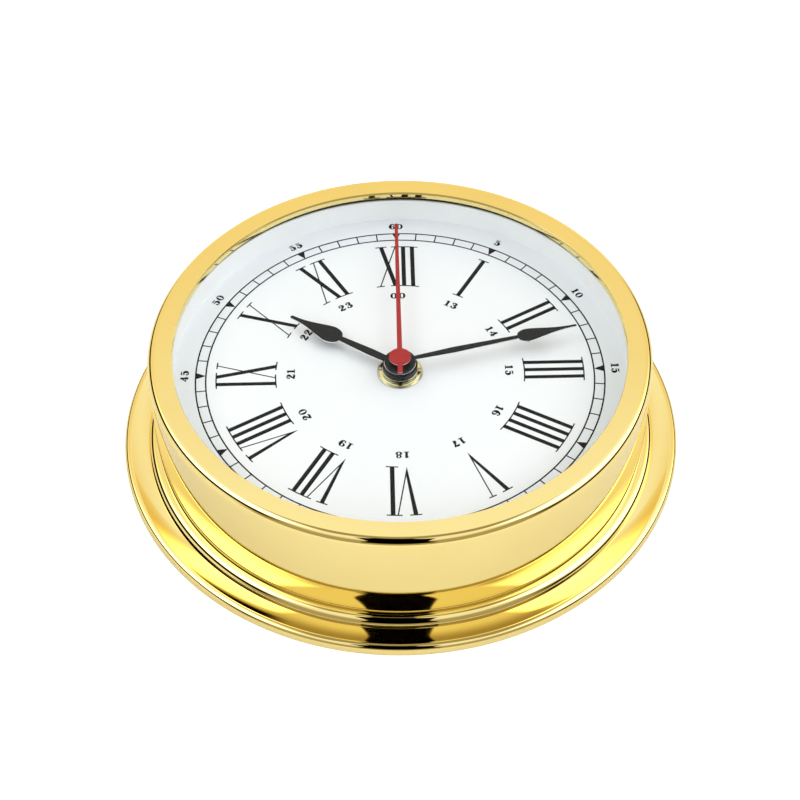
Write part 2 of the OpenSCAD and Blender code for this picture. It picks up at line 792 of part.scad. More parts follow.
module stator() {
  mid_b = leg_b_x + leg_w / 2;
  low_y = coil_y - leg_w / 2;
  color([0.6, 0.6, 0.58]) difference() {
    union() {
      disc(stator_ring, stator_z, stator_t, rotor_p);
      slab([leg_a_x, rotor_p[0]], [rotor_p[1] - 3, rotor_p[1] + 3], [stator_z, core_z]);
      slab([leg_a_x, leg_a_x + leg_w], [low_y, rotor_p[1]], [stator_z, core_z]);
      slab([rotor_p[0] - arm_half, rotor_p[0] + arm_half], [bridge_y, rotor_p[1]], [stator_z, core_z]);
      slab([rotor_p[0] - arm_half, leg_b_x + leg_w], [bridge_y, bridge_y + bridge_w], [stator_z, core_z]);
      slab([leg_b_x, leg_b_x + leg_w], [low_y, bridge_y + cut], [stator_z, core_z]);
    }
    disc(stator_hole, stator_z - cut, stator_t + 2 * cut, rotor_p);
    disc(2.1, stator_z - cut, stator_t + 2 * cut, fifth_p);
    disc(keep_r, stator_z - cut, stator_t + 2 * cut);
    for (x = [leg_a_x + leg_w / 2, mid_b]) disc(pin_hole_r, stator_z - cut, stator_t + 2 * cut, [x, coil_y]);
  }
}

module coil_core() {
  color([0.45, 0.45, 0.45]) difference() {
    slab([leg_a_x, leg_b_x + leg_w], [coil_y - core_w / 2, coil_y + core_w / 2], [core_z, core_z + core_t]);
    for (x = [leg_a_x, leg_b_x]) disc(pin_hole_r, core_z - cut, core_t + 2 * cut, [x + leg_w / 2, coil_y]);
  }
}

// a cylinder along X at the height of the coil
module coil_bar(r, x0, x1) {
  translate([x0, coil_y, coil_z]) rotate([0, 90, 0]) cylinder(h = x1 - x0, r = r);
}

module coil_bobbin() {
  x0 = leg_a_x + leg_w + bobbin_gap;
  x1 = leg_b_x - bobbin_gap;
  color([0.9, 0.9, 0.85]) difference() {
    union() {
      coil_bar(bobbin_core_r, x0, x1);
      coil_bar(coil_r + 0.3, x0, x0 + bobbin_flange);
      coil_bar(coil_r + 0.3, x1 - bobbin_flange, x1);
    }
    slab([x0 - cut, x1 + cut], [coil_y - core_w / 2 - fit, coil_y + core_w / 2 + fit],
      [core_z - fit, core_z + core_t + fit]);
  }
}

module coil_winding() {
  x0 = leg_a_x + leg_w + bobbin_gap + bobbin_flange;
  x1 = leg_b_x - bobbin_gap - bobbin_flange;
  color([0.72, 0.40, 0.22]) difference() {
    coil_bar(coil_r, x0, x1);
    coil_bar(bobbin_core_r, x0 - cut, x1 + cut);
  }
}

module circuit_board() {
  color([0.15, 0.35, 0.22]) slab(board_x, board_y, [board_z, board_z + board_t]);
}

module crystal_can() {
  r = 1;
  color([0.75, 0.75, 0.76]) translate([board_x[0] + 2.5, board_y[0] + 2, board_z - r])
    rotate([-90, 0, 0]) cylinder(h = 6, r = r);
}

module chip_cover() {
  mid = [(board_x[0] + board_x[1]) / 2 + 2, (board_y[0] + board_y[1]) / 2];
  color([0.08, 0.08, 0.08]) intersection() {
    translate([mid[0], mid[1], board_z + 2]) sphere(4);
    disc(5, board_z - 3, 3, mid);
  }
}

module contact_positive() {
  x = in_half;
  pad = [cell_z - contact_half, cell_z + contact_half];
  strip = [cell_z + strip_z[0], cell_z + strip_z[1]];
  tab_y = [board_y[1] - 3 * spade_w, board_y[1] - 2 * spade_w];
  tab_x = [board_x[1] - 3 * spade_t, board_x[1] - 2 * spade_t];
  color([0.78, 0.78, 0.75]) {
    slab([x - contact_t, x], [cell_y - contact_half, cell_y + contact_half], pad);
    slab([x - contact_t, x], [tab_y[0], cell_y], strip);
    slab([tab_x[0], x], tab_y, [strip[1] - spade_t, strip[1]]);
    slab(tab_x, tab_y, [strip[1] - spade_t, board_z]);
  }
}

module contact_negative() {
  x = -in_half;
  y_low = -in_half;
  pad = [cell_z - contact_half, cell_z + contact_half];
  strip = [cell_z + strip_z[0], cell_z + strip_z[1]];
  color([0.78, 0.78, 0.75]) {
    slab([x, x + contact_t], [cell_y - contact_half, cell_y + contact_half], pad);
    slab([x, x + contact_t], [y_low, cell_y], strip);
    slab([x, board_x[0] + 6], [y_low, y_low + contact_t], strip);
    translate([x + contact_t, cell_y, cell_z]) rotate([0, 90, 0])
      cylinder(h = spring_h, r1 = contact_half, r2 = spring_r);
  }
}

module battery_cell() {
  x0 = -in_half + contact_t + spring_h + nip;
  color([0.25, 0.45, 0.35]) translate([0, cell_y, cell_z]) rotate([0, 90, 0]) {
    translate([0, 0, x0]) cylinder(h = cell_len, r = cell_r);
    translate([0, 0, x0 + cell_len]) cylinder(h = cap_len, r = cap_r);
  }
}

// ================= mounting =================

module bayonet_ring() {
  color([0.6, 0.6, 0.58]) difference() {
    union() {
      tube(bayonet_r, ring_in_r, ring_z, ring_t);
      for (i = [1 : lug_count]) {
        at = 90 + i * 360 / lug_count;
        sector(tab_in_r, ring_in_r + cut, at - tab_half, at + tab_half, ring_z, tab_t);
        sector(tab_in_r + 1, ring_in_r + cut, at - lug_half - 3, at - lug_half - lug_gap, ring_z, ring_t);
      }
    }
    for (i = [1 : ring_screw_count]) {
      p = polar(ring_screw_mid, i * 360 / ring_screw_count);
      disc(ring_screw_r + 0.1, ring_z - cut, ring_t + 2 * cut, p);
      translate([p[0], p[1], ring_z - cut / 5]) cylinder(h = 1.1, r1 = 2.2, r2 = ring_screw_r + 0.1);
    }
  }
}

module ring_screws() {
  color([0.7, 0.7, 0.72]) for (i = [1 : ring_screw_count]) {
    p = polar(ring_screw_mid, i * 360 / ring_screw_count);
    difference() {
      union() {
        disc(ring_screw_r - 0.02, ring_z + 0.1, ring_t + web_t - 0.8, p);
        translate([p[0], p[1], ring_z + 0.05]) cylinder(h = 0.9, r1 = 1.95, r2 = ring_screw_r - 0.02);
      }
      translate([p[0], p[1], ring_z]) cube([5, 0.4, 0.8], center = true);
    }
  }
}

module wall_plate() {
  rib = 6;
  web = 2.4;
  boss = 6;
  window_r = 18;
  sink = 4.4;
  color([0.2, 0.2, 0.22]) difference() {
    union() {
      tube(plate_r, plate_r - rib, 0, wall_plate_t);
      tube(plate_r - rib + cut, window_r, 0, web);
      tube(window_r + 2, window_r, 0, wall_plate_t);
      for (i = [1 : lug_count]) {
        disc(boss, 0, wall_plate_t, polar(screw_circle_r, 30 + i * 360 / lug_count));
        at = 90 + i * 360 / lug_count;
        sector(plate_r - cut, lug_r, at - lug_half, at + lug_half, lug_z, lug_t);
      }
    }
    for (i = [1 : lug_count]) {
      p = polar(screw_circle_r, 30 + i * 360 / lug_count);
      disc(screw_hole_r, -cut, wall_plate_t + 2 * cut, p);
      translate([p[0], p[1], wall_plate_t - (sink - screw_hole_r)])
        cylinder(h = sink - screw_hole_r + 0.01, r1 = screw_hole_r, r2 = sink);
    }
  }
}

wall_plate();
case_body();
bayonet_ring();
ring_screws();
bezel_ring();
glass();
glass_gasket();
glass_retainer();
rehaut_ring();
dial();
centre_nut();
nut_washer();
rubber_washer();
hour_hand();
minute_hand();
second_hand();
housing_front();
housing_back();
movement_screws();
rotor();
fifth_wheel();
second_wheel();
third_wheel();
centre_wheel();
minute_work_wheel();
hour_wheel();
set_knob();
stator();
coil_core();
coil_bobbin();
coil_winding();
circuit_board();
crystal_can();
chip_cover();
contact_positive();
contact_negative();
battery_cell();
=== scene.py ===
"""Looks of the deck clock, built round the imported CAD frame. Sizes are in millimetres, the dial faces +Z."""

import math

import bpy
from mathutils import Matrix, Vector
from mathutils.geometry import delaunay_2d_cdt


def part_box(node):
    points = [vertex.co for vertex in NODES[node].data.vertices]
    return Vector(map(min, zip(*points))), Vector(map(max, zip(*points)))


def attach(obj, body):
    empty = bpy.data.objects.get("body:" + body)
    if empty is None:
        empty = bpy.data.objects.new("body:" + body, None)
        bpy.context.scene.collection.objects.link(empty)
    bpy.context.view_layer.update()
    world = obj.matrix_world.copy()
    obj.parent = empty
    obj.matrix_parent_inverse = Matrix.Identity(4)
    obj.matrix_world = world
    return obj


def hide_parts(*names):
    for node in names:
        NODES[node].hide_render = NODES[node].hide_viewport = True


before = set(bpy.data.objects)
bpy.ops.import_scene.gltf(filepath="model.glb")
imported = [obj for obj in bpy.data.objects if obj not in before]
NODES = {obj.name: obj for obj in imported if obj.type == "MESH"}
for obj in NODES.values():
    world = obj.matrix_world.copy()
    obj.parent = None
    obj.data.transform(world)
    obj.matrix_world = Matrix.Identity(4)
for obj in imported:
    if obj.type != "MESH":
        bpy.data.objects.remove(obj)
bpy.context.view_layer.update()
MM = 0.001


def low(node, axis):
    """Lowest coordinate of a CAD node along one axis, in millimetres."""
    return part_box(node)[0][axis] / MM


def high(node, axis):
    """Highest coordinate of a CAD node along one axis, in millimetres."""
    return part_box(node)[1][axis] / MM


# ---- sizes taken from the frame, in millimetres ----
X, Z = 0, 2
FACE_Z = high("dial", Z)
DIAL_Z = low("dial", Z)
DIAL_R = high("dial", X)
FLANGE_R = high("case_body", X)
WALL_R = high("bezel_ring", X)
TOP_Z = high("bezel_ring", Z)
BEZEL_FOOT = low("bezel_ring", Z)
GLASS_TOP = high("glass", Z)
REHAUT_TOP = high("rehaut_ring", Z)
NUT_R = high("centre_nut", X)
NUT_LOW = low("centre_nut", Z)
NUT_TOP = high("centre_nut", Z)
SECOND_TOP = high("second_hand", Z)

# ---- sizes read from the photograph, in millimetres ----
# the bead's top lies lower than the CAD bezel's foot, which puts the reflections where the photo has them
BEAD_TOP = BEZEL_FOOT - 0.88
TRACK_IN = 58.3
TRACK_OUT = 61.37


# ======================= meshes =======================


def make_object(name, verts, faces, materials, body, sharp=None, face_mats=None):
    """A mesh object from millimetre points, riding on a body."""
    mesh = bpy.data.meshes.new(name)
    mesh.from_pydata([(x * MM, y * MM, z * MM) for x, y, z in verts], [], faces)
    mesh.validate()
    mesh.update()
    for material in materials:
        mesh.materials.append(material)
    if face_mats:
        mesh.polygons.foreach_set("material_index", face_mats)
    if sharp is not None:
        mesh.polygons.foreach_set("use_smooth", [True] * len(mesh.polygons))
        mesh.set_sharp_from_angle(angle=math.radians(sharp))
    obj = bpy.data.objects.new(name, mesh)
    bpy.context.scene.collection.objects.link(obj)
    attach(obj, body)
    return obj


def around(centre, r, angle):
    """The point at an angle in degrees on a circle."""
    a = math.radians(angle)
    return centre[0] + r * math.cos(a), centre[1] + r * math.sin(a)


def arc(cx, cz, r, start, end, steps):
    """Points of an arc in the (radius, height) plane, angles in degrees."""
    return [around((cx, cz), r, start + (end - start) * i / steps) for i in range(steps + 1)]


def guarded(profile, rows, long=0.8, keep=0.03):
    """Points added just inside the ends of each long straight run, so that its shading stays flat."""
    points = []
    mats = []
    for k, p in enumerate(profile):
        q = profile[(k + 1) % len(profile)]
        row = rows[k] if rows else 0
        points.append(p)
        mats.append(row)
        span = math.hypot(q[0] - p[0], q[1] - p[1])
        if span > long:
            for t in (keep / span, 1 - keep / span):
                points.append((p[0] + (q[0] - p[0]) * t, p[1] + (q[1] - p[1]) * t))
                mats.append(row)
    return points, mats


def lathe(name, profile, materials, body, turns=480, sharp=28, rows=None):
    """A closed (radius, height) profile turned about Z. rows gives a material to each profile edge."""
    profile, rows = guarded(profile, rows)
    count = len(profile)
    verts = []
    faces = []
    face_mats = []
    for i in range(turns):
        a = 2 * math.pi * i / turns
        verts += [(r * math.sin(a), r * math.cos(a), z) for r, z in profile]
    for i in range(turns):
        j = (i + 1) % turns
        for k in range(count):
            m = (k + 1) % count
            faces.append((i * count + k, i * count + m, j * count + m, j * count + k))
            face_mats.append(rows[k])
    return make_object(name, verts, faces, materials, body, sharp, face_mats)


def clockwise(x, y, angle):
    """A point turned about the centre by a clock angle in degrees."""
    c = math.cos(math.radians(angle))
    s = math.sin(math.radians(angle))
    return x * c + y * s, -x * s + y * c


def prism(name, outline, z0, z1, materials, body, bevel, turn=0.0, sharp=35):
    """A flat sheet cut to an outline, its upper edge bevelled. The cut edge takes the second material."""
    count = len(outline)
    rings = [(outline, z0), (outline, z1 - bevel), (offset_loop(outline, bevel), z1)]
    verts = [(*clockwise(x, y, turn), z) for ring, z in rings for x, y in ring]
    faces = [tuple(range(count - 1, -1, -1))]
    face_mats = [0]
    for level in range(len(rings) - 1):
        base = level * count
        for k in range(count):
            m = (k + 1) % count
            faces.append((base + k, base + m, base + count + m, base + count + k))
            face_mats.append(1 if level == 0 else 0)
    faces.append(tuple((len(rings) - 1) * count + k for k in range(count)))
    face_mats.append(0)
    return make_object(name, verts, faces, materials, body, sharp, face_mats)


def offset_loop(points, distance, mitre=0.4, tiny=1e-9):
    """The outline moved inwards; points run anticlockwise."""
    moved = []
    count = len(points)
    for k in range(count):
        p = Vector(points[k - 1])
        q = Vector(points[k])
        r = Vector(points[(k + 1) % count])
        a = (q - p).normalized()
        b = (r - q).normalized()
        n = Vector((-a.y, a.x)) + Vector((-b.y, b.x))
        n = n.normalized() if n.length > tiny else Vector((-a.y, a.x))
        scale = 1 / max(mitre, n.dot(Vector((-a.y, a.x))))
        moved.append(tuple(q + n * distance * scale))
    return moved


# ======================= node materials =======================


class Nodes:
    """A short way to write a node tree. A value that is fed in may be a number, a colour or an output."""

    def __init__(self, tree):
        self.tree = tree
        self.tree.nodes.clear()

    def add(self, kind, **settings):
        node = self.tree.nodes.new(kind)
        for key, value in settings.items():
            setattr(node, key, value)
        return node

    def link(self, source, target):
        self.tree.links.new(source, target)

    def feed(self, target, value):
        if isinstance(value, bpy.types.NodeSocket):
            self.link(value, target)
        else:
            target.default_value = value

    def math(self, operation, a, b=0.0):
        node = self.add("ShaderNodeMath", operation=operation)
        self.feed(node.inputs[0], a)
        self.feed(node.inputs[1], b)
        return node.outputs[0]

    def ramp(self, value, low_at, high_at, low_to=0.0, high_to=1.0, smooth=True):
        node = self.add("ShaderNodeMapRange")
        node.interpolation_type = "SMOOTHSTEP" if smooth else "LINEAR"
        for key, v in zip(("From Min", "From Max", "To Min", "To Max"), (low_at, high_at, low_to, high_to)):
            node.inputs[key].default_value = v
        self.feed(node.inputs["Value"], value)
        return node.outputs["Result"]

    def mix(self, factor, a, b):
        node = self.add("ShaderNodeMix", data_type="RGBA")
        self.feed(node.inputs["Factor"], factor)
        self.feed(node.inputs["A"], a)
        self.feed(node.inputs["B"], b)
        return node.outputs["Result"]

    def noise(self, vector, scale, detail=3.0, rough=0.5, seed=0.0):
        node = self.add("ShaderNodeTexNoise", noise_dimensions="4D")
        node.inputs["Scale"].default_value = scale
        node.inputs["Detail"].default_value = detail
        node.inputs["Roughness"].default_value = rough
        node.inputs["W"].default_value = seed
        self.feed(node.inputs["Vector"], vector)
        return node.outputs["Fac"]

    def cloud(self, vector, scale, detail=3.0, rough=0.5, seed=0.0):
        """Noise spread out to run from 0 to 1 in soft patches."""
        return self.ramp(self.noise(vector, scale, detail, rough, seed), 0.3, 0.7)

    def place(self):
        return self.add("ShaderNodeTexCoord").outputs["Object"]

    def polar(self, place, angle_scale):
        """Coordinates that run round the axis of the clock: (angle, radius, height)."""
        split = self.add("ShaderNodeSeparateXYZ")
        self.link(place, split.inputs[0])
        join = self.add("ShaderNodeCombineXYZ")
        angle = self.math("ARCTAN2", split.outputs["X"], split.outputs["Y"])
        self.link(self.math("MULTIPLY", angle, angle_scale), join.inputs["X"])
        self.link(self.radius(split), join.inputs["Y"])
        self.link(split.outputs["Z"], join.inputs["Z"])
        return join.outputs[0]

    def radius(self, split):
        xx = self.math("MULTIPLY", split.outputs["X"], split.outputs["X"])
        yy = self.math("MULTIPLY", split.outputs["Y"], split.outputs["Y"])
        return self.math("SQRT", self.math("ADD", xx, yy))


def new_material(name):
    material = bpy.data.materials.new(name)
    material.use_nodes = True
    return material, Nodes(material.node_tree)


def finish_material(n, colour, rough, metal=0.0, bump=None, depth=0.0, strength=0.0, **sockets):
    """The surface shader of a material, with a bump where one is given."""
    shader = n.add("ShaderNodeBsdfPrincipled")
    n.feed(shader.inputs["Base Color"], colour)
    n.feed(shader.inputs["Roughness"], rough)
    shader.inputs["Metallic"].default_value = metal
    for key, value in sockets.items():
        shader.inputs[key.replace("_", " ")].default_value = value
    if bump is not None:
        node = n.add("ShaderNodeBump")
        node.inputs["Strength"].default_value = strength
        node.inputs["Distance"].default_value = depth
        n.link(bump, node.inputs["Height"])
        n.link(node.outputs[0], shader.inputs["Normal"])
    out = n.add("ShaderNodeOutputMaterial")
    n.link(shader.outputs[0], out.inputs["Surface"])
    return shader


def brass(name, light, dark, rough, ring_lines):
    """Polished brass under clear lacquer: faint colour drift, haze and polishing lines round the axis."""
    material, n = new_material(name)
    place = n.place()
    colour = n.mix(n.cloud(place, 35, seed=1.0), (*light, 1), (*dark, 1))
    haze = n.noise(place, 220, 4, 0.6, seed=2.0)
    roughness = n.ramp(haze, 0.3, 0.75, rough * 0.8, rough * 1.35)
    lines = n.noise(n.polar(place, 0.004), 9000, 2, seed=4.0)
    finish_material(n, colour, roughness, 1.0, lines, depth=0.000002, strength=ring_lines)
    return material


def metal(name, colour, rough, grain=400, spread=0.12, bump=0.15):
    """Plain metal with a clouded colour and a fine grain."""
    material, n = new_material(name)
    place = n.place()
    darker = tuple(c * (1 - spread) for c in colour)
    tint = n.mix(n.cloud(place, grain, 4, 0.6, seed=5.0), (*colour, 1), (*darker, 1))
    patches = n.noise(place, grain * 2.3, seed=6.0)
    roughness = n.ramp(patches, 0.3, 0.7, rough * 0.8, rough * 1.3)
    pores = n.noise(place, grain * 6, 2, seed=7.0)
    finish_material(n, tint, roughness, 1.0, pores, depth=0.00001, strength=bump)
    return material


def plastic(name, colour, rough, grain=900, spread=0.1, bump=0.25, depth=0.00002, **sockets):
    """Moulded plastic, rubber or paint with a fine surface grain."""
    material, n = new_material(name)
    place = n.place()
    darker = tuple(c * (1 - spread) for c in colour)
    tint = n.mix(n.cloud(place, grain / 9, seed=8.0), (*colour, 1), (*darker, 1))
    patches = n.noise(place, grain / 3, seed=9.0)
    roughness = n.ramp(patches, 0.3, 0.7, rough * 0.9, min(1.0, rough * 1.12))
    pores = n.noise(place, grain, 2, seed=10.0)
    finish_material(n, tint, roughness, 0.0, pores, depth, bump, **sockets)
    return material


def lacquer(name, colour, rough, **sockets):
    """The thin smooth paint of the hands."""
    return plastic(name, colour, rough, 2600, 0.1, 0.15, 0.000006, **sockets)


def dial_material():
    """Matt white enamel paint; the chapter track and the zone outside it are a shade cooler."""
    material, n = new_material("dial_enamel")
    place = n.place()
    split = n.add("ShaderNodeSeparateXYZ")
    n.link(place, split.inputs[0])
    radius = n.radius(split)
    white = n.mix(n.cloud(place, 60, seed=11.0), (0.80, 0.82, 0.862, 1), (0.79, 0.81, 0.857, 1))
    track = n.math("MULTIPLY", n.math("GREATER_THAN", radius, TRACK_IN * MM), 0.45)
    cool = n.mix(track, white, (0.735, 0.772, 0.828, 1))
    outer = n.math("GREATER_THAN", radius, TRACK_OUT * MM)
    colour = n.mix(outer, cool, (0.795, 0.825, 0.866, 1))
    pores = n.noise(place, 2500, 2, seed=12.0)
    finish_material(n, colour, 0.42, 0.0, pores, depth=0.000006, strength=0.2)
    return material


def glass_material():
    """Flat glass: clear straight through, with a weak Fresnel mirror image on the side that light enters."""
    material, n = new_material("clear_glass")
    clear = n.add("ShaderNodeBsdfTransparent")
    clear.inputs["Color"].default_value = (0.985, 0.992, 0.99, 1)
    gloss = n.add("ShaderNodeBsdfGlossy")
    smear = n.noise(n.place(), 90, 4, 0.6, seed=13.0)
    n.link(n.ramp(smear, 0.4, 0.8, 0.0, 0.03), gloss.inputs["Roughness"])
    fresnel = n.add("ShaderNodeFresnel")
    fresnel.inputs["IOR"].default_value = 1.5
    entering = n.math("SUBTRACT", 1.0, n.add("ShaderNodeNewGeometry").outputs["Backfacing"])
    mirror_share = 0.15
    mirror = n.math("MULTIPLY", n.math("MULTIPLY", fresnel.outputs[0], entering), mirror_share)
    blend = n.add("ShaderNodeMixShader")
    n.link(mirror, blend.inputs[0])
    n.link(clear.outputs[0], blend.inputs[1])
    n.link(gloss.outputs[0], blend.inputs[2])
    out = n.add("ShaderNodeOutputMaterial")
    n.link(blend.outputs[0], out.inputs["Surface"])
    return material


MAT = {
    "brass": brass("polished_brass", (0.905, 0.745, 0.305), (0.885, 0.72, 0.285), 0.04, 0.05),
    "nut": brass("brass_nut", (0.80, 0.74, 0.42), (0.74, 0.67, 0.36), 0.14, 0.2),
    "steel": metal("zinc_steel", (0.62, 0.62, 0.60), 0.30),
    "spring": metal("spring_steel", (0.66, 0.65, 0.62), 0.24),
    "alu": metal("cut_aluminium", (0.90, 0.91, 0.92), 0.28),
    "rubber": plastic("black_rubber", (0.018, 0.018, 0.019), 0.75),
    "white": plastic("white_ring", (0.93, 0.94, 0.96), 0.45, 1400, 0.02, 0.12),
    "dial": dial_material(),
    "ink": plastic("printed_ink", (0.004, 0.0045, 0.006), 0.6, 2200, 0.15, 0.12, 0.000004,
                   Specular_IOR_Level=0.2),
    "hand": lacquer("black_lacquer", (0.010, 0.011, 0.014), 0.36, Specular_IOR_Level=0.22),
    "red": lacquer("red_lacquer", (0.37, 0.021, 0.024), 0.34, Specular_IOR_Level=0.25),
    "red_edge": lacquer("red_edge", (0.80, 0.42, 0.42), 0.30),
    "black": plastic("black_plastic", (0.022, 0.022, 0.024), 0.48, 1500, 0.15, 0.35),
    "nylon": plastic("nylon", (0.72, 0.69, 0.60), 0.42, 1500, 0.06, 0.2, Subsurface_Weight=0.1),
    "magnet": metal("sintered_magnet", (0.20, 0.20, 0.21), 0.45, 900, 0.3, 0.4),
    "copper": metal("enamelled_copper", (0.72, 0.32, 0.16), 0.28, 1500, 0.25, 0.5),
    "board": plastic("circuit_board", (0.05, 0.20, 0.08), 0.38, 1200, 0.25, 0.2),
    "can": metal("crystal_can", (0.74, 0.74, 0.72), 0.22),
    "epoxy": plastic("black_epoxy", (0.014, 0.014, 0.015), 0.25, 700, 0.1, 0.2),
    "cell": plastic("cell_sleeve", (0.10, 0.11, 0.13), 0.30, 1100, 0.2, 0.15),
    "glass": glass_material(),
}
NODE_LOOKS = {
    "wall_plate": "black",
    "bayonet_ring": "steel",
    "ring_screws": "steel",
    "glass": "glass",
    "glass_gasket": "rubber",
    "glass_retainer": "spring",
    "dial": "dial",
    "nut_washer": "steel",
    "rubber_washer": "rubber",
    "housing_front": "black",
    "housing_back": "black",
    "movement_screws": "steel",
    "rotor": "magnet",
    "fifth_wheel": "nylon",
    "second_wheel": "nylon",
    "third_wheel": "nylon",
    "centre_wheel": "nut",
    "minute_work_wheel": "nylon",
    "hour_wheel": "nylon",
    "set_knob": "black",
    "stator": "steel",
    "coil_core": "steel",
    "coil_bobbin": "nylon",
    "coil_winding": "copper",
    "circuit_board": "board",
    "crystal_can": "can",
    "chip_cover": "epoxy",
    "contact_positive": "spring",
    "contact_negative": "spring",
    "battery_cell": "cell",
}


def dress_nodes():
    """Gives each carried-over CAD node its finish."""
    for node, look in NODE_LOOKS.items():
        obj = NODES[node]
        obj.data.materials.clear()
        obj.data.materials.append(MAT[look])


# ======================= case and bezel =======================


def case_piece():
    """The drawn brass case: wall flange, hollow, bead, web and threaded collar."""
    edge = 0.1
    side_r = 1.54
    rim = (FLANGE_R - side_r, 1.45)
    crown_r = 3.6
    kink = 68.0
    crown_end = 84.0
    crown = around(rim, side_r - crown_r, kink)
    bead_r = 2.9
    bead = (WALL_R, BEAD_TOP - bead_r)
    bead_start = 8.0
    sag = 0.2
    web = (3.0, 5.6)
    recess_r = 72.3
    collar = (70.05, 72.45)
    land = (72.68, 11.6, 19.6)
    back_r = 66.0
    hollow_out = around(crown, crown_r, crown_end)
    hollow_in = around(bead, bead_r, bead_start)
    profile = [(recess_r, 0.0), (FLANGE_R - edge, 0.0), (FLANGE_R, edge)]
    profile += arc(*rim, side_r, 0, kink, 20)
    profile += arc(*crown, crown_r, kink, crown_end, 8)[1:]
    profile += sagging(hollow_out, hollow_in, sag, 24)[1:-1]
    profile += arc(*bead, bead_r, bead_start, 90, 34)
    profile += [(collar[1], BEAD_TOP), (collar[1], land[1])]
    profile += thread(collar[1], land)
    profile += [(collar[1], land[2]), (collar[1], DIAL_Z), (collar[0], DIAL_Z), (collar[0], web[1])]
    profile += [(back_r, web[1]), (back_r, web[0]), (recess_r, web[0])]
    piece = lathe("case_shell", profile, [MAT["brass"]], "case")
    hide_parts("case_body")


def sagging(p, q, sag, steps):
    """A shallow arc from p to q that dips below the chord."""
    points = []
    for i in range(steps + 1):
        t = i / steps
        points.append((p[0] + (q[0] - p[0]) * t, p[1] + (q[1] - p[1]) * t - 4 * sag * t * (1 - t)))
    return points


def thread(root_r, land):
    """Rounded ridges that stand for the thread of the bezel seat."""
    crest_r, z0, z1 = land
    pitch = 1.0
    foot_r = root_r + 0.02
    ridge = ((foot_r, 0.12), (crest_r, 0.42), (crest_r, 0.58), (foot_r, 0.88))
    count = int((z1 - z0) / pitch)
    return [(r, z0 + i * pitch + z) for i in range(count) for r, z in ridge]


def bezel_piece():
    """The turned brass bezel with its rounded shoulder, bevelled lip and snap-ring groove."""
    bore_r = WALL_R - 2.0
    lip_r = 67.15
    round_r = 2.45
    bevel = 0.3
    bevel_drop = 0.55
    soften = 0.02
    nick = 0.05
    groove_r = 73.3
    groove = (low("glass_retainer", Z) - 0.05, GLASS_TOP - 1.8)
    foot = BEAD_TOP + 0.02
    profile = [(bore_r, foot), (WALL_R - nick, foot)]
    profile += arc(WALL_R - nick, foot + nick, nick, -80, 0, 4)
    profile += arc(WALL_R - round_r, TOP_Z - round_r, round_r, 0, 90, 28)
    profile += [(lip_r + bevel + 3 * soften, TOP_Z), (lip_r + bevel, TOP_Z - soften)]
    profile += [(lip_r + soften, TOP_Z - bevel_drop), (lip_r, TOP_Z - bevel_drop - 3 * soften)]
    profile += [(lip_r, GLASS_TOP), (bore_r, GLASS_TOP)]
    profile += [(bore_r, groove[1]), (groove_r, groove[1]), (groove_r, groove[0]), (bore_r, groove[0])]
    piece = lathe("bezel_shell", profile, [MAT["brass"]], "bezel")
    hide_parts("bezel_ring")


def rehaut_piece():
    """The white ring between dial and glass, with an eased inner edge."""
    inner = 68.3
    ease = 0.2
    profile = [(inner, FACE_Z), (DIAL_R, FACE_Z), (DIAL_R, REHAUT_TOP)]
    profile += arc(inner + ease, REHAUT_TOP - ease, ease, 90, 180, 6)
    piece = lathe("rehaut_wall", profile, [MAT["white"]], "case", turns=360)
    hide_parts("rehaut_ring")


# ======================= hands =======================


def pear_edge(start, shoulder, wide, length, halves):
    """One edge of a pear blade on its stem, as (distance, half width)."""
    hub, mid, neck, belly, tip = halves
    edge = [(start, hub), ((start + shoulder) * 0.42, mid), (shoulder, neck)]
    steps = 12
    for i in range(1, steps + 1):
        a = math.pi / 2 * i / steps
        edge.append((wide - (wide - shoulder) * math.cos(a), neck + (belly - neck) * math.sin(a)))
    steps = 24
    for i in range(1, steps + 1):
        u = i / steps
        fall = 0.5 + 0.5 * math.cos(math.pi * u**0.72)
        edge.append((wide + u * (length - tip - wide), tip + (belly - tip) * fall))
    for angle in (22, 45, 67):
        a = math.radians(angle)
        edge.append((length - tip + tip * math.sin(a), tip * math.cos(a)))
    return edge


def both_sides(edge, length):
    """The outline of a blade from one edge, anticlockwise."""
    right = [(w, y) for y, w in edge]
    left = [(-w, y) for y, w in reversed(edge)]
    return right + [(0.0, length)] + left


def boss_profile(outer, bore, z0, z1, lip):
    """A hand's hub: a black drum on a pale rim that stands out a little at the bottom."""
    drum = outer - 0.12
    ease = 0.15
    profile = [(bore, z0), (outer, z0), (outer, z0 + lip), (drum, z0 + lip + 0.02)]
    profile += arc(drum - ease, z1 - ease, ease, 0, 90, 6)
    profile += [(bore, z1)]
    rows = [1] * 3 + [0] * (len(profile) - 3)
    return profile, rows


def pear_hand(which, length, shoulder, wide, halves, blade_lift, boss):
    """A black hand: a pear blade and its hub. boss gives the hub's radius, bore and pale lip.

    shoulder and wide are shares of the length, halves the half widths at hub, mid stem, neck, belly and tip.
    """
    node = which + "_hand"
    body = which + "s"
    sheet = 0.5
    bevel = 0.08
    hidden = 1.5
    outer, bore, lip = boss
    z0 = low(node, Z)
    base = z0 + blade_lift
    mats = [MAT["hand"], MAT["alu"]]
    edge = pear_edge(outer - hidden, length * shoulder, length * wide, length, halves)
    outline = both_sides(edge, length)
    turn = hand_turn(which)
    blade = prism(which + "_blade", outline, base, base + sheet, mats, body, bevel, turn)
    profile, rows = boss_profile(outer, bore, z0, high(node, Z), lip)
    hub = lathe(which + "_hub", profile, mats, body, turns=180, rows=rows)
    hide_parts(node)
    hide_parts(node)


